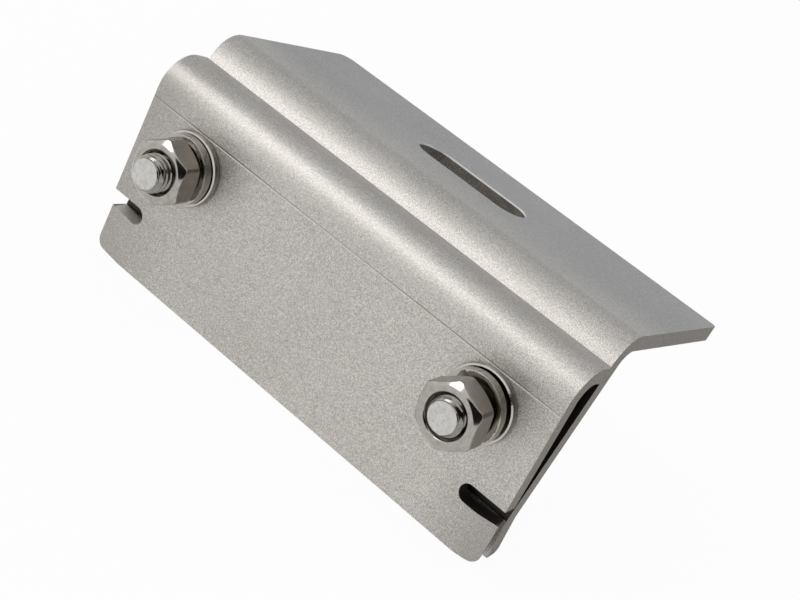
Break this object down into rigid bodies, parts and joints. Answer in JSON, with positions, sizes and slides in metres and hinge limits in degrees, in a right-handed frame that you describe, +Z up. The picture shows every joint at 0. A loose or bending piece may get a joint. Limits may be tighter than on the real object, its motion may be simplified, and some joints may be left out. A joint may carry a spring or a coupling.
{
  "type": "standing seam clamp",
  "caption": "Bent steel roof seam clamp: a notched jaw plate with a rolled top is drawn by bolts and nuts against a back plate with a slotted flange.",
  "frame": {"origin": "middle of the plates' length, middle of the seam gap, level with the plates' bottom edges", "axes": "+X along the roof seam, +Y from the jaw plate toward the slotted flange, +Z up"},
  "size_m": [0.11, 0.0761, 0.0512],
  "materials": {
    "plate_steel": "bead-blasted stainless steel",
    "fastener_steel": "polished stainless steel"
  },
  "bodies": {
    "back": {"back_plate": "plate_steel", "bolt_left": "fastener_steel", "bolt_right": "fastener_steel"},
    "jaw": {"jaw_plate": "plate_steel", "flat_washer_left": "fastener_steel", "flat_washer_right": "fastener_steel", "spring_washer_left": "fastener_steel", "spring_washer_right": "fastener_steel"},
    "nut_left": {"hex_nut_left": "fastener_steel"},
    "nut_right": {"hex_nut_right": "fastener_steel"}
  },
  "joints": [
    {"name": "jaw_slide", "type": "slide", "parent": "back", "child": "jaw", "axis": [0, -1, 0], "range_m": [0, 0.00375]},
    {"name": "nut_left_turn", "type": "hinge", "parent": "jaw", "child": "nut_left", "pos_m": [-0.04, -0.012, 0.029], "axis": [0, -1, 0], "range_deg": [0, 1080]},
    {"name": "nut_right_turn", "type": "hinge", "parent": "jaw", "child": "nut_right", "pos_m": [0.04, -0.012, 0.029], "axis": [0, -1, 0], "range_deg": [0, 1080]}
  ],
  "couplings": [
    {"joint": "nut_left_turn", "follows": "jaw_slide", "rad_per_m": 5026.5},
    {"joint": "nut_right_turn", "follows": "jaw_slide", "rad_per_m": 5026.5}
  ]
}
